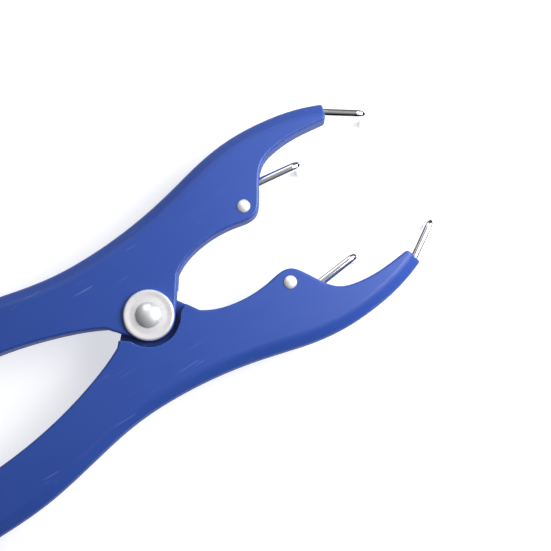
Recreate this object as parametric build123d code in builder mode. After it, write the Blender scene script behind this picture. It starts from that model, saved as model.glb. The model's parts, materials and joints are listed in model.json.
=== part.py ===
"""Reverse-action spreader pliers with four wire prongs.

The two plastic levers stay each on their own side of one pivot, so squeezing the handles drives the
jaws apart.  The four prongs point down and spread a rubber neck or ring that is slipped over them.

X runs from the handles to the jaws, Z is up, and the prongs point down to Z = 0.  The origin is
the middle of the bounding box at the height of the prong tips.  The left lever is on the +Y side.
"""
import os
from math import acos, atan2, cos, hypot, radians, sin, tan
from build123d import *

# Overall sizes, millimetres
handle_reach = 131.0        # pivot axis to the end of the handles
jaw_reach = 87.6            # pivot axis to the end face of the jaws
lever_thickness = 10.0      # top face to bottom face
prong_drop = 17.0           # middle of the lever to the prong tips

# Outer edge of a lever, measured from the mid line with the tool open as it is held in use
waist_half_width = 28.2     # beside the pivot
waist_x = -6.0
shoulder_x = 55.0           # where the jaws are widest
shoulder_half_width = 37.8
jaw_end_outer = 31.7        # outer corner of the jaw's end face
grip_outer = 37.0           # along the handle
grip_end_run = 18.0         # length over which the end of the handle turns in

# Inner edge of a lever
grip_inner = 18.0
grip_end_crown = 0.6        # how far the end of the handle bulges at its middle
throat_half_width = 11.9    # widest place of the gap between pivot and bumps
bump_x = 46.0               # where the inner bumps come closest together
bump_half_gap = 10.4
nose_run = 5.0              # from the closest place of the bump to the start of its front flank
nose_rise = 2.8
flank_slope = 58.0          # degrees, slope of the bump's front flank
flank_length = 9.0
flank_foot = 4.2            # the flank's foot turns into the inner edge of the jaw over this step
jaw_half_gap = 27.0         # mid line to the inner edge of the jaw behind its tip
jaw_end_inner = 26.2        # inner corner of the jaw's end face
jaw_end_slant = 2.0         # how far the inner corner of the end face stands back
jaw_inner_corner_round = 1.4

# Edges of the moulding: a sloping band along the outer edge, small rounds everywhere else
band_width = 3.8            # across the face
band_depth = 2.9            # down the outer wall
band_crease_round = 3.0     # where the band leaves the flat face
band_foot_round = 1.5       # where it meets the outer wall
edge_round = 0.8

# Half-lap joint
boss_radius = 8.8
recess_margin = 1.8         # the round recess is this much larger than the boss that turns in it
lap_gap = 0.2               # between the two laps
lap_clearance = 0.4         # between a lap and the recess of the other lever, at the joint's limits
front_corner = (15.4, 7.2)  # where the neck of the lever meets the front gap
front_corner_round = 2.5
recess_edge_round = 0.4
rear_corner = (-14.6, 3.7)
closing_angle = 22.5        # from the open pose down to the front prongs nearly touching
opening_angle = 14.0        # from the open pose up to handles nearly touching

# Pivot rivet and its washers
pivot_shank_radius = 3.0
pivot_running_clearance = 0.08
pivot_head_radius = 4.2
pivot_head_height = 2.0
pivot_head_rim = 0.5        # straight rim under the dome
washer_radius = 8.6
washer_thickness = 1.5
washer_axial_play = 0.1     # between the top washer and the turning lever
washer_rim_width = 1.1
washer_collar_width = 0.9   # raised ring around the rivet head
washer_dish_depth = 0.15
washer_edge_chamfer = 0.5

# Jaw rivets, one through each bump
jaw_rivet_ahead = 0.2       # from the closest place of the bump towards the jaw
jaw_rivet_depth = 4.7       # from the inner edge of the bump
jaw_rivet_shank_radius = 1.5
jaw_rivet_head_radius = 2.25
jaw_rivet_head_height = 1.1
jaw_rivet_head_rim = 0.2
burr_washer_radius = 3.4
burr_washer_thickness = 0.8

# Wire prongs
wire_radius = 1.5
tip_round_share = 0.75      # tip round as a share of the wire's radius
prong_bend_radius = 3.0     # centre line of the bend down into the prong
hook_bend_radius = 2.6      # bend of the hooked tail inside the plastic
front_overhang = 11.0       # end face of the jaw to the front prong
front_prong_y = 21.6
front_entry_run = 3.0       # straight wire inside the end face
front_entry_bend = 8.0
front_tail_run = 26.0       # end face of the jaw to the hooked tail
front_tail_y = 31.0
front_hook_length = 4.2
rear_overhang = 24.3        # closest place of the bump to the rear prong
rear_prong_y = 18.3
rear_wire_slope = 6.5       # degrees, the rear wire runs inwards towards its prong
rear_hook_gap = 0.9         # plastic between the jaw rivet and the hook behind it

front_reach = jaw_reach + front_overhang
rear_prong_x = bump_x + rear_overhang
recess_radius = boss_radius + recess_margin
jaw_rivet_x = bump_x + jaw_rivet_ahead
jaw_rivet_y = bump_half_gap + jaw_rivet_depth
pivot_x = (handle_reach - front_reach - wire_radius) / 2
middle = Plane((pivot_x, 0, prong_drop))
half = lever_thickness / 2


def at(x, y, z=0.0):
    """A point given from the pivot, in the tool's own frame."""
    return (pivot_x + x, y, prong_drop + z)


def tangent_point(corner, radius, turn):
    """Where a line from the corner touches a circle around the pivot; turn is 1 or -1."""
    reach = hypot(*corner)
    angle = atan2(corner[1], corner[0]) + turn * acos(radius / reach)
    return (radius * cos(angle), radius * sin(angle))


def across(point):
    """The same point on the other side of the mid line."""
    return (point[0], -point[1])


def between(start, end, share):
    """The value a given share of the way from start to end."""
    return start + (end - start) * share


def wire_prong(points, radii):
    """Round wire along a bent path from its hooked tail to the prong tip, with a rounded tip."""
    with BuildPart() as wire:
        with BuildLine(middle) as route:
            FilletPolyline(*points, radius=radii)
        with BuildSketch(Plane(route.line @ 0, z_dir=route.line % 0)):
            Circle(wire_radius)
        sweep()
        tip = wire.faces().sort_by(Axis.Z)[0]
        fillet(tip.edges(), tip_round_share * wire_radius)
    return wire.part


# The front wire: hooked tail inside the jaw, out through the end face, then down.
front_entry_y = between(jaw_end_inner, jaw_end_outer, 0.5)
front_entry_slope = (front_entry_y - front_prong_y) / front_overhang
front_inside_y = front_entry_y + front_entry_slope * front_entry_run
front_tail_x = jaw_reach - front_tail_run
front_points = [
    (front_tail_x, front_tail_y - front_hook_length, 0),
    (front_tail_x, front_tail_y, 0),
    (jaw_reach - front_entry_run, front_inside_y, 0),
    (front_reach, front_prong_y, 0),
    (front_reach, front_prong_y, -prong_drop),
]
with BuildPart() as left_front_prong:
    add(wire_prong(front_points, [hook_bend_radius, front_entry_bend, prong_bend_radius]))

# The rear wire: its tail is hooked behind the jaw rivet, and it leaves the bump's front flank.
rear_hook_x = jaw_rivet_x - jaw_rivet_shank_radius - rear_hook_gap - wire_radius
rear_hook_y = rear_prong_y + tan(radians(rear_wire_slope)) * (rear_prong_x - rear_hook_x)
rear_points = [
    (rear_hook_x, jaw_rivet_y, 0),
    (rear_hook_x, rear_hook_y, 0),
    (rear_prong_x, rear_prong_y, 0),
    (rear_prong_x, rear_prong_y, -prong_drop),
]
with BuildPart() as left_rear_prong:
    add(wire_prong(rear_points, [hook_bend_radius, prong_bend_radius]))

with BuildPart() as right_front_prong:
    mirror(left_front_prong.part, about=Plane.XZ)

with BuildPart() as right_rear_prong:
    mirror(left_rear_prong.part, about=Plane.XZ)


# Key points of the lever outline
front_tangent = tangent_point(front_corner, boss_radius, -1)
rear_tangent = tangent_point(rear_corner, boss_radius, 1)
nose = (bump_x + nose_run, bump_half_gap + nose_rise)
flank_top = (
    nose[0] + flank_length * cos(radians(flank_slope)),
    nose[1] + flank_length * sin(radians(flank_slope)),
)
jaw_root = (flank_top[0] + flank_foot, flank_top[1] + flank_foot)
jaw_inner_corner = (jaw_reach - jaw_end_slant, jaw_end_inner)
jaw_outer_corner = (jaw_reach, jaw_end_outer)
grip_end_corner = (grip_end_crown - handle_reach, grip_inner)


def handle_point(share, inner_or_outer, growth):
    """A point of the handle's edge: share of the handle's reach, and how far it has grown to full width."""
    return (-share * handle_reach, inner_or_outer * growth)


# The other lever's neck and boss, grown by the clearance its recess leaves round them.
with BuildSketch() as other_neck:
    with BuildLine():
        Line(across(rear_corner), across(rear_tangent))
        RadiusArc(across(rear_tangent), across(front_tangent), boss_radius)
        Line(across(front_tangent), across(front_corner))
        Line(across(front_corner), across(rear_corner))
    make_face()
    offset(amount=lap_clearance, kind=Kind.INTERSECTION)


with BuildPart() as left_lever:
    with BuildSketch(middle.offset(-half)) as outline:
        with BuildLine():
            # Inner edge of the handle, from its end to the neck
            Spline(
                grip_end_corner,
                handle_point(0.84, grip_inner, 1.01),
                handle_point(0.65, grip_inner, 1.01),
                handle_point(0.46, grip_inner, 0.93),
                handle_point(0.32, grip_inner, 0.75),
                handle_point(0.206, grip_inner, 0.505),
                handle_point(0.153, grip_inner, 0.355),
                rear_corner,
            )
            Line(rear_corner, rear_tangent)
            RadiusArc(rear_tangent, front_tangent, -boss_radius)
            Line(front_tangent, front_corner)
            # Throat, bump and inner edge of the jaw
            Spline(
                front_corner,
                (between(front_corner[0], bump_x, 0.145), between(front_corner[1], throat_half_width, 0.51)),
                (between(front_corner[0], bump_x, 0.375), between(front_corner[1], throat_half_width, 0.9)),
                (between(front_corner[0], bump_x, 0.605), throat_half_width),
                (between(front_corner[0], bump_x, 0.836), between(bump_half_gap, throat_half_width, 0.47)),
                (bump_x, bump_half_gap),
                (between(bump_x, nose[0], 0.6), between(bump_half_gap, nose[1], 0.29)),
                nose,
                flank_top,
                jaw_root,
                (between(jaw_root[0], jaw_inner_corner[0], 0.2), jaw_half_gap - 0.3),
                (between(jaw_root[0], jaw_inner_corner[0], 0.55), jaw_half_gap + 0.3),
                jaw_inner_corner,
            )
            Line(jaw_inner_corner, jaw_outer_corner)
            # Outer edge, from the jaw back to the rounded end of the handle
            Spline(
                jaw_outer_corner,
                (between(shoulder_x, jaw_reach, 0.83), between(shoulder_half_width, jaw_end_outer, 0.64)),
                (between(shoulder_x, jaw_reach, 0.58), between(shoulder_half_width, jaw_end_outer, 0.28)),
                (between(shoulder_x, jaw_reach, 0.31), between(shoulder_half_width, jaw_end_outer, 0.07)),
                (shoulder_x, shoulder_half_width),
                (between(waist_x, shoulder_x, 0.79), between(waist_half_width, shoulder_half_width, 0.85)),
                (between(waist_x, shoulder_x, 0.56), between(waist_half_width, shoulder_half_width, 0.5)),
                (between(waist_x, shoulder_x, 0.3), between(waist_half_width, shoulder_half_width, 0.17)),
                (waist_x, waist_half_width),
                handle_point(0.168, grip_outer, 0.776),
                handle_point(0.305, grip_outer, 0.865),
                handle_point(0.473, grip_outer, 0.978),
                handle_point(0.687, grip_outer, 1.008),
                (grip_end_run - handle_reach, grip_outer * 0.995),
                (between(-handle_reach, grip_end_run - handle_reach, 0.39), grip_outer * 0.903),
                (grip_end_crown - handle_reach, between(grip_inner, grip_outer, 0.42)),
                grip_end_corner,
            )
        make_face()
        fillet(outline.vertices().sort_by_distance(jaw_inner_corner)[0], jaw_inner_corner_round)
        fillet(outline.vertices().sort_by_distance(front_corner)[0], front_corner_round)
    extrude(amount=lever_thickness)
    outer_wall = left_lever.faces().sort_by(SortBy.AREA)[-3]    # after the two flat faces
    rims = outer_wall.edges().filter_by(GeomType.LINE, reverse=True)
    chamfer(rims, band_depth, band_width, reference=outer_wall)
    # The band's long edges have rounds of their own: two where it leaves the faces, two at its foot.
    fillet(left_lever.edges().sort_by(SortBy.LENGTH)[-4:-2], band_crease_round)
    fillet(left_lever.edges().sort_by(SortBy.LENGTH)[-2:], band_foot_round)
    fillet(left_lever.edges().filter_by(lambda edge: edge.length < handle_reach), edge_round)
    # Below its lap the lever is cut away, as far as the other lever's lap swings.
    with BuildSketch(middle.offset(lap_gap / 2)):
        Circle(recess_radius)
        add(other_neck.sketch, rotation=closing_angle)
        add(other_neck.sketch, rotation=-opening_angle)
    extrude(amount=-lever_thickness, mode=Mode.SUBTRACT)
    recess_rim = left_lever.edges(Select.LAST).group_by(Axis.Z)[0]
    fillet(recess_rim, recess_edge_round)
    with Locations(middle):
        Hole(pivot_shank_radius + pivot_running_clearance)
    with Locations(middle.offset(half)):
        with Locations((jaw_rivet_x, jaw_rivet_y)):
            Hole(jaw_rivet_shank_radius)
    add(left_front_prong.part, mode=Mode.SUBTRACT)
    add(left_rear_prong.part, mode=Mode.SUBTRACT)

# Both levers are the same moulding: the right one is turned over about the X axis.
with BuildPart() as right_lever:
    add(left_lever.part.rotate(Axis(at(0, 0), (1, 0, 0)), 180))


def solid_rivet(x, y, bottom, top, shank_radius, head_radius, head_height, rim):
    """Solid rivet turned in one piece: a shank with a domed head at each end."""
    dome_rise = head_height - rim
    dome_radius = (head_radius**2 + dome_rise**2) / (2 * dome_rise)
    with BuildPart() as rivet:
        with BuildSketch(Plane(at(x, y), x_dir=(1, 0, 0), z_dir=(0, -1, 0))):
            with BuildLine():
                RadiusArc((0, top + head_height), (head_radius, top + rim), dome_radius)
                Polyline(
                    (head_radius, top + rim),
                    (head_radius, top),
                    (shank_radius, top),
                    (shank_radius, bottom),
                    (head_radius, bottom),
                    (head_radius, bottom - rim),
                )
                RadiusArc((head_radius, bottom - rim), (0, bottom - head_height), dome_radius)
                Line((0, bottom - head_height), (0, top + head_height))
            make_face()
        revolve(axis=Axis(at(x, y), (0, 0, 1)))
    return rivet.part


def pivot_washer(outer_face, up):
    """Stepped washer with a raised rim and collar; outer_face is the height of its rim."""
    with BuildPart() as washer:
        with BuildSketch(middle.offset(outer_face)):
            Circle(washer_radius)
            Circle(pivot_shank_radius + pivot_running_clearance, mode=Mode.SUBTRACT)
        extrude(amount=-up * washer_thickness)
        outer_edges = washer.edges().group_by(Axis.Z)[-1 if up > 0 else 0]
        chamfer(outer_edges.sort_by(SortBy.RADIUS)[-1], washer_edge_chamfer)
        with BuildSketch(middle.offset(outer_face)):
            Circle(washer_radius - washer_rim_width)
            Circle(pivot_head_radius + washer_collar_width, mode=Mode.SUBTRACT)
        extrude(amount=-up * washer_dish_depth, mode=Mode.SUBTRACT)
    return washer.part


top_washer_face = half + washer_axial_play + washer_thickness
bottom_washer_face = -half - washer_thickness

with BuildPart() as top_pivot_washer:
    add(pivot_washer(top_washer_face, 1))

with BuildPart() as bottom_pivot_washer:
    add(pivot_washer(bottom_washer_face, -1))

with BuildPart() as pivot_rivet:
    add(
        solid_rivet(
            0, 0, bottom_washer_face, top_washer_face,
            pivot_shank_radius, pivot_head_radius, pivot_head_height, pivot_head_rim,
        )
    )

# Plain washer under the clenched end of a jaw rivet
with BuildPart() as left_burr_washer:
    with BuildSketch(middle.offset(-half)):
        with Locations((jaw_rivet_x, jaw_rivet_y)):
            Circle(burr_washer_radius)
            Circle(jaw_rivet_shank_radius, mode=Mode.SUBTRACT)
    extrude(amount=-burr_washer_thickness)

with BuildPart() as left_jaw_rivet:
    add(
        solid_rivet(
            jaw_rivet_x, jaw_rivet_y, -half - burr_washer_thickness, half,
            jaw_rivet_shank_radius, jaw_rivet_head_radius, jaw_rivet_head_height,
            jaw_rivet_head_rim,
        )
    )

with BuildPart() as right_burr_washer:
    mirror(left_burr_washer.part, about=Plane.XZ)

with BuildPart() as right_jaw_rivet:
    mirror(left_jaw_rivet.part, about=Plane.XZ)

pieces = {
    "left_lever": left_lever,
    "right_lever": right_lever,
    "pivot_rivet": pivot_rivet,
    "top_pivot_washer": top_pivot_washer,
    "bottom_pivot_washer": bottom_pivot_washer,
    "left_jaw_rivet": left_jaw_rivet,
    "right_jaw_rivet": right_jaw_rivet,
    "left_burr_washer": left_burr_washer,
    "right_burr_washer": right_burr_washer,
    "left_front_prong": left_front_prong,
    "left_rear_prong": left_rear_prong,
    "right_front_prong": right_front_prong,
    "right_rear_prong": right_rear_prong,
}
os.makedirs("parts", exist_ok=True)
for name, piece in pieces.items():
    piece.part.label = name
    export_step(piece.part, f"parts/{name}.step")
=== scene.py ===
# %% [markdown]
# # Spreader pliers: two blue levers, one pivot and four wire prongs
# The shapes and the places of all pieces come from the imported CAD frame, in metres, with the prong
# tips at Z = 0 and the jaws towards +X.  Here the pieces get their finishes.  The wires are bent
# again as round wire with a finer section, and the small metal parts are turned again with the soft
# edges that pressing and riveting leave.

# %% Load the frame
import json
from math import cos, pi, radians, sin, sqrt

import bmesh
import bpy
from mathutils import Matrix, Vector


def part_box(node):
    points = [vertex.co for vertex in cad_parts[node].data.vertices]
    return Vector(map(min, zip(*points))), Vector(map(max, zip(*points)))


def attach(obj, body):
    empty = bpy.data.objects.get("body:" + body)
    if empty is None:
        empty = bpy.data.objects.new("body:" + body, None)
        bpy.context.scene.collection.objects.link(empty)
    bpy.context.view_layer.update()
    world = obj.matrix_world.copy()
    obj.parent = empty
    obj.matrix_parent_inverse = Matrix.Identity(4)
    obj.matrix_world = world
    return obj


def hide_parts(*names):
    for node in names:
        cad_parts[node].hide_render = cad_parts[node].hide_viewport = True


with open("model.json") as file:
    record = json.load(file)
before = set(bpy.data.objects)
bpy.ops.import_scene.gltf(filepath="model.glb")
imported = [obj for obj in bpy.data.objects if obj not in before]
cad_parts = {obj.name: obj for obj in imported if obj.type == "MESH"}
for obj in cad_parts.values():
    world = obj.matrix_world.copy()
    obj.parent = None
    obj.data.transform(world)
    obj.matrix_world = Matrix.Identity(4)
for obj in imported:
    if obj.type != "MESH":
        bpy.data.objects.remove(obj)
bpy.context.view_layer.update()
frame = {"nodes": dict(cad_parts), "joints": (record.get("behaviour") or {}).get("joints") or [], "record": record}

MM = 0.001
scene = bpy.context.scene
nodes = frame["nodes"]
pivot_joint = frame["joints"][0]
pivot = Vector(pivot_joint["pos_m"])
lever_low, lever_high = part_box("left_lever")
lever_middle = (lever_low.z + lever_high.z) / 2
print("pieces:", sorted(nodes))
print("pivot at", pivot, "lever middle", round(lever_middle, 4))

# %% [markdown]
# ## Camera
# The tool is seen almost from straight above, turned so that the jaws point to the upper right and
# the handles run out of the frame at the lower left.  The camera is placed by one aim point, the
# face of the pivot washer: it is pushed back along the view direction, then shifted sideways until
# that point stands where it should in the square frame.

# %% Place the camera
FRAME_WIDTH = 551
SENSOR = 36.0
NEAR_CLIP = 0.01
view_turn = radians(-31.4)
view_height = radians(84.0)
view_distance = 450 * MM
aim_point = Vector((pivot.x, pivot.y, lever_high.z + 1.5 * MM))
aim_in_frame = (148.5, 315.0)
pixels_per_metre = 3000.0

right = Vector((cos(view_turn), sin(view_turn), 0))
forward = Vector((
    -sin(view_turn) * cos(view_height),
    cos(view_turn) * cos(view_height),
    -sin(view_height),
))
up = right.cross(forward)
shift_right = (aim_in_frame[0] - FRAME_WIDTH / 2) / pixels_per_metre
shift_down = (aim_in_frame[1] - FRAME_WIDTH / 2) / pixels_per_metre
camera_place = aim_point - forward * view_distance - right * shift_right + up * shift_down

lens_data = bpy.data.cameras.new("camera")
lens_data.sensor_width = SENSOR
lens_data.lens = SENSOR * pixels_per_metre * view_distance / FRAME_WIDTH
lens_data.clip_start = NEAR_CLIP
camera = bpy.data.objects.new("camera", lens_data)
camera.matrix_world = Matrix((
    (right.x, up.x, -forward.x, camera_place.x),
    (right.y, up.y, -forward.y, camera_place.y),
    (right.z, up.z, -forward.z, camera_place.z),
    (0, 0, 0, 1),
))
scene.collection.objects.link(camera)
scene.camera = camera
print("lens", round(lens_data.lens, 1), "mm at", [round(v, 3) for v in camera_place])

# %% [markdown]
# ## Shader arithmetic
# Every finish below is a few patterns added, multiplied and clipped.  Writing that as node links is
# long, so one class wraps a socket and overloads the operators: `1 - mask * 0.3` adds the two Math
# nodes by itself.  One more method makes any other node from its type, its settings and its inputs.


# %% The socket class
class Value:
    """A number that varies over the surface."""

    def __init__(self, finish, socket):
        self.finish = finish
        self.socket = socket

    def math(self, operation, *others, first=None):
        values = [self if first is None else first, *(others if first is None else [self])]
        inputs = dict(enumerate(values))
        return self.finish.node("ShaderNodeMath", {"operation": operation}, inputs)

    def __add__(self, other):
        return self.math("ADD", other)

    __radd__ = __add__

    def __sub__(self, other):
        return self.math("SUBTRACT", other)

    def __rsub__(self, other):
        return self.math("SUBTRACT", first=other)

    def __mul__(self, other):
        return self.math("MULTIPLY", other)

    __rmul__ = __mul__

    def __truediv__(self, other):
        return self.math("DIVIDE", other)

    def ramp(self, low, high):
        """0 below low, 1 above high, and a smooth step between."""
        return self.finish.node(
            "ShaderNodeMapRange",
            {"interpolation_type": "SMOOTHSTEP"},
            {"Value": self, "From Min": low, "From Max": high},
        )


class Finish:
    """One material, with its Principled shader and the patterns that feed it."""

    def __init__(self, name):
        self.material = bpy.data.materials.new(name)
        self.material.use_nodes = True
        self.tree = self.material.node_tree
        self.shader = self.tree.nodes["Principled BSDF"]
        self.place = self.node("ShaderNodeTexCoord", {}, {}, "Object")
        self.axes = [self.node("ShaderNodeSeparateXYZ", {}, {"Vector": self.place}, a) for a in "XYZ"]

    def node(self, kind, settings, inputs, output=0):
        """Adds a node; settings go on before its inputs are set or linked."""
        made = self.tree.nodes.new(kind)
        for key, setting in settings.items():
            setattr(made, key, setting)
        for key, value in inputs.items():
            if isinstance(value, Value):
                self.tree.links.new(value.socket, made.inputs[key])
            else:
                made.inputs[key].default_value = value
        return Value(self, made.outputs[output])

    def moved(self, offset=(0, 0, 0), turn=(0, 0, 0), scale=(1, 1, 1)):
        """The object's coordinates, moved, turned and stretched for one pattern."""
        inputs = {"Vector": self.place, "Location": offset, "Rotation": turn, "Scale": scale}
        return self.node("ShaderNodeMapping", {"vector_type": "POINT"}, inputs)

    def noise(self, scale, where=None, detail=3.0, roughness=0.55):
        inputs = {
            "Vector": where or self.place,
            "Scale": scale,
            "Detail": detail,
            "Roughness": roughness,
        }
        return self.node("ShaderNodeTexNoise", {}, inputs)

    def oval(self, centre, half_sizes, core, rim):
        """1 inside an upright oval column and 0 outside it, with a soft step from core to rim."""
        along = (self.axes[0] - centre[0]) / half_sizes[0]
        across = (self.axes[1] - centre[1]) / half_sizes[1]
        return 1 - (along * along + across * across).math("SQRT").ramp(core, rim)

    def mix(self, amount, first, second):
        """A colour between two colours."""
        settings = {"data_type": "RGBA"}
        return self.node("ShaderNodeMix", settings, {0: amount, 6: first, 7: second}, 2)

    def bump(self, height, distance, strength=1.0, after=None):
        inputs = {"Height": height, "Distance": distance, "Strength": strength}
        if after:
            inputs["Normal"] = after
        return self.node("ShaderNodeBump", {}, inputs)

    def feed(self, **sockets):
        """Links patterns or sets numbers on the Principled shader."""
        for key, value in sockets.items():
            socket = self.shader.inputs[key.replace("_", " ")]
            if isinstance(value, Value):
                self.tree.links.new(value.socket, socket)
            else:
                socket.default_value = value
        return self.material


print("shader helpers ready")

# %% [markdown]
# ## Floor and light
# A plain pale floor lies just under the prong tips.  It glows a little, so that it stays nearly white
# around the tool and its shadows stay faint.

# %% Lay the floor
FLOOR_RADIUS = 1.6
FLOOR_GAP = 0.05 * MM
floor_mesh = bmesh.new()
bmesh.ops.create_circle(floor_mesh, cap_ends=True, segments=96, radius=FLOOR_RADIUS)
floor_data = bpy.data.meshes.new("floor")
floor_mesh.to_mesh(floor_data)
floor_mesh.free()
floor = bpy.data.objects.new("floor", floor_data)
floor.location = (0, 0, -FLOOR_GAP)
scene.collection.objects.link(floor)

paper = Finish("floor_paper")
paper_cloud = paper.noise(6.0, detail=2.0)
paper_tone = paper.mix(paper_cloud, (0.55, 0.55, 0.555, 1), (0.59, 0.59, 0.595, 1))
floor_data.materials.append(paper.feed(
    Base_Color=paper_tone,
    Roughness=0.9,
    Emission_Color=(1.0, 1.0, 1.0, 1),
    Emission_Strength=0.60,
))
print("floor radius", FLOOR_RADIUS, "m")

# %% [markdown]
# ## Room light
# The sky is the product of two grey bands: one is dark near the horizon and lighter above, the other
# is dark behind the handles and bright beyond the jaws.  The dark horizon is what draws the thin dark
# edges along polished wire.  Two soft panels add the rest: a near one beyond the jaws, whose light
# falls off towards the handles, and a weaker one high on the left.

# %% Make the sky
world = bpy.data.worlds.new("room")
scene.world = world
world.use_nodes = True
sky_tree = world.node_tree
sky_place = sky_tree.nodes.new("ShaderNodeTexCoord")
sky_links = sky_tree.links


def sky_band(direction, stops):
    """Grey levels along one direction of the sky, from -1 behind it to 1 in front."""
    along = sky_tree.nodes.new("ShaderNodeVectorMath")
    along.operation = "DOT_PRODUCT"
    along.inputs[1].default_value = Vector(direction).normalized()
    sky_links.new(sky_place.outputs["Generated"], along.inputs[0])
    spread = sky_tree.nodes.new("ShaderNodeMapRange")
    spread.inputs["From Min"].default_value = -1
    sky_links.new(along.outputs["Value"], spread.inputs["Value"])
    ramp = sky_tree.nodes.new("ShaderNodeValToRGB")
    sky_links.new(spread.outputs["Result"], ramp.inputs["Fac"])
    for index, (height, level) in enumerate(stops):
        made = ramp.color_ramp.elements
        stop = made[index] if index < len(made) else made.new(height)
        stop.position = (height + 1) / 2
        stop.color = (level, level, level, 1)
    return ramp.outputs["Color"]


height_band = sky_band((0, 0, 1), ((0.0, 0.10), (0.30, 0.14), (0.62, 0.58), (0.9, 0.62)))
jaw_band = sky_band((1.0, 0.25, 0.0), ((-0.5, 0.03), (-0.15, 0.06), (0.05, 0.50), (0.35, 1.0)))
both = sky_tree.nodes.new("ShaderNodeMix")
both.data_type = "RGBA"
both.blend_type = "MULTIPLY"
both.inputs[0].default_value = 1.0
sky_links.new(height_band, both.inputs[6])
sky_links.new(jaw_band, both.inputs[7])
sky_links.new(both.outputs[2], sky_tree.nodes["Background"].inputs["Color"])
sky_tree.nodes["Background"].inputs["Strength"].default_value = 1.0
print("sky of two bands ready")


# %% Hang the panels
def soft_panel(name, place, aim, size, power):
    """A square area light that looks at the aim point."""
    data = bpy.data.lights.new(name, "AREA")
    data.shape = "SQUARE"
    data.size = size
    data.energy = power
    lamp = bpy.data.objects.new(name, data)
    towards = Vector(aim) - Vector(place)
    lamp.rotation_euler = towards.to_track_quat("-Z", "Y").to_euler()
    lamp.location = place
    scene.collection.objects.link(lamp)


soft_panel("jaw_panel", (0.28, -0.06, 0.25), (0.12, 0.0, 0.01), 0.26, 2.0)
soft_panel("back_panel", (0.16, 0.50, 0.42), (0.06, 0.03, 0.01), 0.40, 0.7)
scene.view_settings.view_transform = "Standard"

# %% [markdown]
# ## Blue moulded plastic
# The levers are one injection moulding each, in a satin blue plastic.  A single colour would look
# like paint, so the finish is built from what moulding and use leave: a cloudy tone from the flow of
# the melt, a fine spark-eroded grain, a parting line along the outer wall, paler edges and a few short
# scuffs.  The paler edges are partly wear and partly a painted highlight line along every edge.  The
# Bevel node finds the edges, because its rounded normal differs from the true one only there.


# %% Make the lever plastic
def lever_plastic(name, seed, side):
    """side is 1 for the left lever and -1 for the right one, which is the same moulding turned over."""
    finish = Finish(name)
    drift = finish.moved(offset=(seed, seed * 0.7, 0), scale=(1.0, 2.2, 1.0))
    cloud = finish.noise(22.0, drift, detail=4.0)
    flow = finish.noise(55.0, finish.moved(offset=(0, seed, 0), scale=(0.35, 3.0, 1.0)), detail=5.0)
    tone = finish.mix(cloud * 0.6 + flow * 0.4, (0.013, 0.052, 0.29, 1), (0.019, 0.066, 0.34, 1))

    rounded = finish.node("ShaderNodeBevel", {"samples": 6}, {"Radius": 0.7 * MM})
    true_normal = finish.node("ShaderNodeNewGeometry", {}, {}, "Normal")
    agreement = finish.node(
        "ShaderNodeVectorMath", {"operation": "DOT_PRODUCT"}, {0: rounded, 1: true_normal}, "Value"
    )
    edge = (1 - agreement).ramp(0.002, 0.05)
    patchy = finish.noise(240.0, detail=4.0).ramp(0.38, 0.68)
    # painted highlight, partly wear: the edges found by the Bevel node turn paler, in patches
    wear_and_edge_highlight = edge * (patchy * 0.75 + 0.25)
    tone = finish.mix(wear_and_edge_highlight * 0.40, tone, (0.115, 0.190, 0.50, 1))

    scuffs = None
    for index, turn in enumerate((0.4, 1.3, 2.3)):
        across = finish.moved(
            offset=(seed * 3 + index, index * 2.0, 0), turn=(0, 0, turn), scale=(0.05, 1.0, 1.0)
        )
        lines = finish.noise(900.0, across, detail=1.0, roughness=0.4).ramp(0.735, 0.775)
        where = finish.noise(30.0, finish.moved(offset=(seed + index * 5, 0, index)), detail=1.0)
        lines = lines * where.ramp(0.50, 0.62)
        scuffs = lines if scuffs is None else scuffs + lines
    tone = finish.mix(scuffs * 0.22, tone, (0.20, 0.27, 0.56, 1))

    grain = finish.noise(2600.0, detail=2.0)
    wave = finish.noise(70.0, detail=2.0)
    height_off = finish.axes[2] - lever_middle
    seam = 1 - height_off.math("ABSOLUTE").ramp(0.06 * MM, 0.16 * MM)
    upright = 1 - finish.node(
        "ShaderNodeSeparateXYZ", {}, {"Vector": true_normal}, "Z"
    ).math("ABSOLUTE").ramp(0.15, 0.4)
    seam = seam * upright
    sink = finish.oval((pivot.x - 7.6 * MM, side * 18.8 * MM), (7.5 * MM, 4.0 * MM), 0.3, 1.0)
    gate = finish.oval((pivot.x + 1.1 * MM, side * 28.6 * MM), (1.0 * MM, 1.3 * MM), 0.5, 1.0)
    surface = finish.bump(wave, 0.10 * MM, 0.6)
    surface = finish.bump(sink, -0.05 * MM, 1.0, surface)
    surface = finish.bump(gate, 0.12 * MM, 1.0, surface)
    surface = finish.bump(grain, 0.012 * MM, 0.7, surface)
    surface = finish.bump(seam, 0.05 * MM, 0.8, surface)
    surface = finish.bump(scuffs, -0.02 * MM, 0.5, surface)
    satin = 0.37 + cloud * 0.10 + grain * 0.05 - wear_and_edge_highlight * 0.08 + scuffs * 0.15 + upright * 0.38
    return finish.feed(
        Base_Color=tone, Roughness=satin, Normal=surface, Coat_Weight=0.10, Coat_Roughness=0.22,
        IOR=1.49,
    )


plastics = {
    "left_lever": lever_plastic("left_lever_plastic", 1.7, 1),
    "right_lever": lever_plastic("right_lever_plastic", 4.3, -1),
}
for node_name, plastic in plastics.items():
    lever = nodes[node_name]
    lever.data.materials.clear()
    lever.data.materials.append(plastic)
    print(node_name, len(lever.data.polygons), "triangles")

# %% [markdown]
# ## Bright plated wire
# The prongs are bent from plated round wire.  Plating is almost a mirror, so most of its look is the
# room.  What the finish adds is drawn-wire roughness, faint rub marks, and dull spots near the tips
# where the rubber is pulled on and off.


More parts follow.
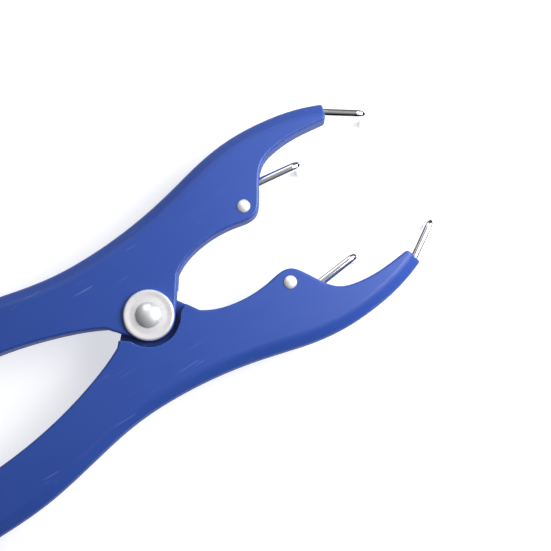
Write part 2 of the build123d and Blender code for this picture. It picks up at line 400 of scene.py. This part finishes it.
# %% Make the plated wire
def prong_steel():
    finish = Finish("prong_steel")
    dull = finish.noise(420.0, detail=4.0)
    rub = finish.noise(1500.0, finish.moved(turn=(0, 0, -0.3), scale=(0.25, 1.0, 1.0)), detail=3.0)
    tip = 1 - finish.axes[2].ramp(1.0 * MM, 9.0 * MM)
    spots = dull.ramp(0.56, 0.72)
    tone = finish.mix(spots * 0.5 + tip * 0.2, (0.80, 0.80, 0.815, 1), (0.58, 0.57, 0.56, 1))
    rough = 0.07 + spots * 0.10 + tip * 0.12 + rub.ramp(0.5, 0.8) * 0.08
    surface = finish.bump(dull, 0.02 * MM, 0.5)
    surface = finish.bump(rub, 0.006 * MM, 0.6, surface)
    return finish.feed(Base_Color=tone, Roughness=rough, Metallic=1.0, Normal=surface)


plated = prong_steel()
print("plated wire ready")

# %% [markdown]
# ## Bent wire
# A wire is one round section carried along a path, so it is made the way a bender makes it: extrude
# the end ring for a straight run, spin it for a bend, and taper it in a few short steps at the tip.
# A curve object with a round bevel would also do, but a Bezier curve only comes near a true arc, and a
# spin holds every bend at its radius.


# %% Bend a wire
WIRE_SIDES = 48
BEND_STEPS_PER_RADIAN = 10
TIP_ROUND_SHARE = 0.75
TIP_STEPS = 6


def bent_wire(name, corners, bends, wire_radius, body, node_name):
    """Round wire through the corner points, with a bend radius at each inner corner."""
    mesh = bmesh.new()
    points = [Vector(corner) for corner in corners]
    heading = (points[1] - points[0]).normalized()
    facing = heading.to_track_quat("Z", "Y").to_matrix().to_4x4()
    bmesh.ops.create_circle(
        mesh, cap_ends=True, segments=WIRE_SIDES, radius=wire_radius,
        matrix=Matrix.Translation(points[0]) @ facing,
    )
    ring = mesh.edges[:]
    here = points[0]

    def straight(edges, step):
        """Extrudes the end ring by one step and gives the new end ring."""
        grown = bmesh.ops.extrude_edge_only(mesh, edges=edges)["geom"]
        moved = [v for v in grown if isinstance(v, bmesh.types.BMVert)]
        bmesh.ops.translate(mesh, vec=step, verts=moved)
        return [e for e in grown if isinstance(e, bmesh.types.BMEdge) and len(e.link_faces) == 1]

    for corner, after, bend in zip(points[1:], points[2:], bends):
        turned = (after - corner).normalized()
        swing = heading.angle(turned)
        axis = heading.cross(turned).normalized()
        reach = bend * sin(swing / 2) / cos(swing / 2)
        run = corner - heading * reach - here
        ring = straight(ring, run)
        here = here + run
        centre = here + axis.cross(heading) * bend
        spun_ring = bmesh.ops.spin(
            mesh, geom=ring, cent=centre, axis=axis, dvec=(0, 0, 0),
            angle=swing, steps=max(4, int(swing * BEND_STEPS_PER_RADIAN)),
            use_merge=False, use_duplicate=False,
        )["geom_last"]
        ring = [e for e in spun_ring if isinstance(e, bmesh.types.BMEdge)]
        heading = turned
        here = corner + heading * reach

    tip_round = TIP_ROUND_SHARE * wire_radius
    ring = straight(ring, points[-1] - heading * tip_round - here)
    here = points[-1] - heading * tip_round
    size = wire_radius
    for index in range(1, TIP_STEPS + 1):
        turn = index * pi / (2 * TIP_STEPS)
        new_size = wire_radius - tip_round * (1 - cos(turn))
        place = points[-1] - heading * tip_round * (1 - sin(turn))
        ring = straight(ring, place - here)
        bmesh.ops.scale(
            mesh, vec=(new_size / size,) * 3, space=Matrix.Translation(-place),
            verts=list({v for e in ring for v in e.verts}),
        )
        here, size = place, new_size
    bmesh.ops.contextual_create(mesh, geom=ring)
    bmesh.ops.recalc_face_normals(mesh, faces=mesh.faces[:])
    for face in mesh.faces:
        face.smooth = len(face.verts) == 4
    data = bpy.data.meshes.new(name)
    mesh.to_mesh(data)
    mesh.free()
    piece = bpy.data.objects.new(name, data)
    scene.collection.objects.link(piece)
    data.materials.append(plated)
    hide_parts(node_name)
    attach(piece, body)
    print(name, len(data.polygons), "faces, box", [round(v / MM, 1) for v in piece.dimensions])


print("wire bender ready")

# %% [markdown]
# ## The four prongs
# Each wire starts with a hooked tail inside the plastic, out of sight, runs out of the jaw at the
# height of the lever's middle, and turns straight down.  The front wires leave through the end face
# of the jaw and the rear ones through its inner edge.  Where a prong stands is read from its pin.

# %% Bend the four prongs
WIRE_BEND = 3.0 * MM
HOOK_BEND = 2.6 * MM
ENTRY_BEND = 8.0 * MM
ENTRY_RUN = 3.0 * MM
ENTRY_Y = 30.954 * MM
FRONT_TAIL_Y = 31.0 * MM
FRONT_TAIL_END_Y = 26.8 * MM
REAR_TAIL_END_Y = 15.1 * MM
REAR_SLOPE = 0.11394
pins = {mount["name"]: mount for mount in frame["record"]["mounts"]}
for side, sign in (("left", 1), ("right", -1)):
    for place in ("front", "rear"):
        node_name = f"{side}_{place}_prong"
        low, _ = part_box(node_name)
        pin = pins[node_name + "_pin"]
        wire_radius = pin["dims"]["r_mm"] * MM
        prong_x, prong_y = pin["pos_m"][0], pin["pos_m"][1]
        tail_x = low.x + wire_radius
        if place == "front":
            tail_y = sign * FRONT_TAIL_Y
            tail_end = sign * FRONT_TAIL_END_Y
            inside = [(lever_high.x - ENTRY_RUN, sign * ENTRY_Y, lever_middle)]
            bends = [HOOK_BEND, ENTRY_BEND, WIRE_BEND]
        else:
            tail_y = prong_y + sign * REAR_SLOPE * (prong_x - tail_x)
            tail_end = sign * REAR_TAIL_END_Y
            inside = []
            bends = [HOOK_BEND, WIRE_BEND]
        corners = [
            (tail_x, tail_end, lever_middle),
            (tail_x, tail_y, lever_middle),
            *inside,
            (prong_x, prong_y, lever_middle),
            (prong_x, prong_y, low.z),
        ]
        bent_wire(node_name + "_wire", corners, bends, wire_radius, f"{side}_side", node_name)

# %% [markdown]
# ## Nickel washers and aluminium rivets
# The washers are stamped and plated: rings from the die run round them.  The rivets are softer metal,
# clenched by a snap tool that leaves a slightly hammered dome.  Both finishes read the distance from
# their own axis, so one function makes them for any centre.  Each also gets a painted shade: a thin
# darker ring at the edge of a rivet head, where the head meets the flat under it.


# %% Make the small metal finishes
def turned_metal(name, centre, bright, dark, rough, ring_pitch, shade_ring_radii, metal):
    """Metal with rings about an upright axis, and a painted shade ring at each given radius."""
    finish = Finish(name)
    from_x = finish.axes[0] - centre[0]
    from_y = finish.axes[1] - centre[1]
    radius = (from_x * from_x + from_y * from_y).math("SQRT")
    ragged = radius + (finish.noise(600.0, detail=2.0) - 0.5) * (0.25 * MM)
    rings = (ragged * (2 * pi / ring_pitch)).math("SINE")
    cloud = finish.noise(260.0, detail=5.0)
    pits = finish.noise(1900.0, detail=2.0).ramp(0.62, 0.74)
    shade_ring = None
    # painted shade: a thin dark ring at each given radius, at the edge of a rivet head
    for shade_radius in shade_ring_radii:
        near = 1 - (ragged - shade_radius).math("ABSOLUTE").ramp(0.06 * MM, 0.30 * MM)
        shade_ring = near if shade_ring is None else shade_ring + near
    # real stains from the cloud and the pits, with the painted shade ring on top
    stain_and_shade = cloud.ramp(0.45, 0.75) * 0.35 + pits * 0.25 + shade_ring * 0.75
    tone = finish.mix(stain_and_shade.math("MINIMUM", 1.0), bright, dark)
    surface = finish.bump(rings, 0.004 * MM, 0.5)
    surface = finish.bump(cloud, 0.05 * MM, 0.5, surface)
    surface = finish.bump(pits, -0.01 * MM, 0.5, surface)
    roughness = rough + cloud * 0.12 + shade_ring * 0.15 + rings * 0.015
    return finish.feed(Base_Color=tone, Roughness=roughness, Metallic=metal, Normal=surface)


print("finish for turned metal ready")

# %% [markdown]
# ## Turned pieces
# Washers and rivets are round, so each is a profile of a few points spun once round its own axis.
# Only the corners need more points: a bevel on the rings of edges at those corners gives the soft
# edge that catches a line of light.


# %% Spin a profile
def spun(name, centre, profile, body, node_name, material, soft=0.12 * MM, turns=96):
    """Spins (radius, height) points about the upright axis at centre, bevels the corners, and rides."""
    mesh = bmesh.new()
    ring = [mesh.verts.new((centre[0] + radius, centre[1], height)) for radius, height in profile]
    closed = profile[0][0] > 0
    pairs = list(zip(ring, ring[1:] + ring[:1])) if closed else list(zip(ring, ring[1:]))
    for start, end in pairs:
        mesh.edges.new((start, end))
    bmesh.ops.spin(
        mesh,
        geom=mesh.verts[:] + mesh.edges[:],
        cent=(centre[0], centre[1], 0),
        axis=(0, 0, 1),
        dvec=(0, 0, 0),
        angle=2 * pi,
        steps=turns,
        use_merge=True,
        use_duplicate=False,
    )
    bmesh.ops.remove_doubles(mesh, verts=mesh.verts[:], dist=0.002 * MM)
    bmesh.ops.recalc_face_normals(mesh, faces=mesh.faces[:])
    corners = [
        edge for edge in mesh.edges
        if len(edge.link_faces) == 2
        and edge.calc_face_angle() > radians(28)
        and abs(edge.verts[0].co.z - edge.verts[1].co.z) < 0.001 * MM
    ]
    bmesh.ops.bevel(
        mesh, geom=corners, offset=soft, segments=3, profile=0.5, affect="EDGES",
        material=-1, clamp_overlap=True,
    )
    for face in mesh.faces:
        face.smooth = True
    data = bpy.data.meshes.new(name)
    mesh.to_mesh(data)
    mesh.free()
    piece = bpy.data.objects.new(name, data)
    scene.collection.objects.link(piece)
    data.materials.append(material)
    weighted = piece.modifiers.new("even_normals", "WEIGHTED_NORMAL")
    weighted.keep_sharp = True
    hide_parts(node_name)
    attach(piece, body)
    print(name, len(data.polygons), "faces")


def dome(radius, base, rise, points):
    """(radius, height) points of a shallow dome from its rim to its top; base is the rim's height."""
    ball = (radius * radius + rise * rise) / (2 * abs(rise))
    sign = 1 if rise > 0 else -1
    steps = [radius * (1 - index / points) for index in range(points + 1)]
    return [(r, base + sign * (sqrt(ball * ball - r * r) - (ball - abs(rise)))) for r in steps]


def rivet_profile(shank, head, bottom, top, head_height, rim):
    """A solid rivet from the top of its upper dome down to the bottom of its lower dome."""
    upper = dome(head, top + rim, head_height - rim, 9)
    lower = dome(head, bottom - rim, rim - head_height, 9)
    neck = [(head, top), (shank, top), (shank, bottom), (head, bottom)]
    return upper[::-1] + neck + lower


def washer_profile(bore, outer, inside, outside, rim, collar, dish, break_edge, slope=0.7 * MM):
    """A stepped washer; inside is the height of its flat side, outside that of its rim."""
    up_sign = 1 if outside > inside else -1
    return [
        (bore, inside),
        (outer, inside),
        (outer, outside - up_sign * break_edge),
        (outer - break_edge, outside),
        (outer - rim, outside),
        (outer - rim - slope, outside - up_sign * dish),
        (collar + slope, outside - up_sign * dish),
        (collar, outside),
        (bore, outside),
    ]


print("profiles for domes, rivets and washers ready")

# %% [markdown]
# ## The pivot
# A solid rivet is clenched over a stepped washer on each side.  The upper washer is the bright ring in
# the middle of the tool; its raised collar carries the rivet's head.

# %% Turn the pivot
SHANK_RADIUS = 3.0 * MM
BORE_CLEARANCE = 0.08 * MM
COLLAR_MARGIN = 0.9 * MM
RIM_WIDTH = 1.1 * MM
DISH_DEPTH = 0.12 * MM
BROKEN_EDGE = 0.4 * MM
PIVOT_HEAD_RIM = 0.5 * MM
rivet_low, rivet_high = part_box("pivot_rivet")
washer_low, washer_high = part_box("top_pivot_washer")
under_low, under_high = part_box("bottom_pivot_washer")
axis = (pivot.x, pivot.y)
washer_radius = (washer_high.x - washer_low.x) / 2
rivet_radius = (rivet_high.x - rivet_low.x) / 2
collar_radius = rivet_radius + COLLAR_MARGIN
nickel = turned_metal(
    "washer_nickel", axis, (0.90, 0.885, 0.905, 1), (0.60, 0.59, 0.60, 1), 0.30, 0.32 * MM,
    (rivet_radius + 0.15 * MM,), 0.55,
)
snap_metal = turned_metal(
    "rivet_aluminium", axis, (0.90, 0.915, 0.94, 1), (0.50, 0.52, 0.55, 1), 0.24, 0.55 * MM,
    (rivet_radius - 0.05 * MM,), 0.60,
)
for piece_name, inside, outside in (
    ("top_pivot_washer", washer_low.z, washer_high.z),
    ("bottom_pivot_washer", under_high.z, under_low.z),
):
    spun(
        piece_name + "_stamped", axis,
        washer_profile(
            SHANK_RADIUS + BORE_CLEARANCE, washer_radius, inside, outside,
            RIM_WIDTH, collar_radius, DISH_DEPTH, BROKEN_EDGE,
        ),
        "right_side", piece_name, nickel, soft=0.10 * MM,
    )
spun(
    "pivot_rivet_clenched", axis,
    rivet_profile(
        SHANK_RADIUS, rivet_radius, under_low.z, washer_high.z,
        rivet_high.z - washer_high.z, PIVOT_HEAD_RIM,
    ),
    "right_side", "pivot_rivet", snap_metal, soft=0.10 * MM,
)

# %% [markdown]
# ## The jaw rivets
# Each jaw has one small rivet through its bump, with a plain burr washer under the lower head.  The
# burr washer has no step, so its profile is a rectangle, and a larger bevel rounds it as pressing does.

# %% Turn the jaw rivets
SMALL_SHANK_RADIUS = 1.5 * MM
SMALL_HEAD_RIM = 0.2 * MM
for side in ("left", "right"):
    head_low, head_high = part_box(f"{side}_jaw_rivet")
    burr_low, burr_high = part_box(f"{side}_burr_washer")
    centre = ((head_low.x + head_high.x) / 2, (head_low.y + head_high.y) / 2)
    head_radius = (head_high.x - head_low.x) / 2
    burr_radius = (burr_high.x - burr_low.x) / 2
    head_height = burr_low.z - head_low.z
    white_metal = turned_metal(
        f"{side}_jaw_rivet_aluminium", centre, (0.96, 0.96, 0.97, 1), (0.6, 0.6, 0.62, 1), 0.30,
        0.4 * MM, (head_radius,), 0.45,
    )
    small_nickel = turned_metal(
        f"{side}_burr_nickel", centre, (0.88, 0.88, 0.89, 1), (0.45, 0.44, 0.44, 1), 0.28, 0.3 * MM,
        (head_radius + 0.1 * MM,), 0.75,
    )
    body = f"{side}_side"
    spun(
        f"{side}_jaw_rivet_clenched", centre,
        rivet_profile(
            SMALL_SHANK_RADIUS, head_radius, burr_low.z, lever_high.z, head_height, SMALL_HEAD_RIM
        ),
        body, f"{side}_jaw_rivet", white_metal, soft=0.06 * MM, turns=64,
    )
    spun(
        f"{side}_burr_washer_pressed", centre,
        [
            (SMALL_SHANK_RADIUS, burr_high.z),
            (burr_radius, burr_high.z),
            (burr_radius, burr_low.z),
            (SMALL_SHANK_RADIUS, burr_low.z),
        ],
        body, f"{side}_burr_washer", small_nickel, soft=0.18 * MM, turns=64,
    )
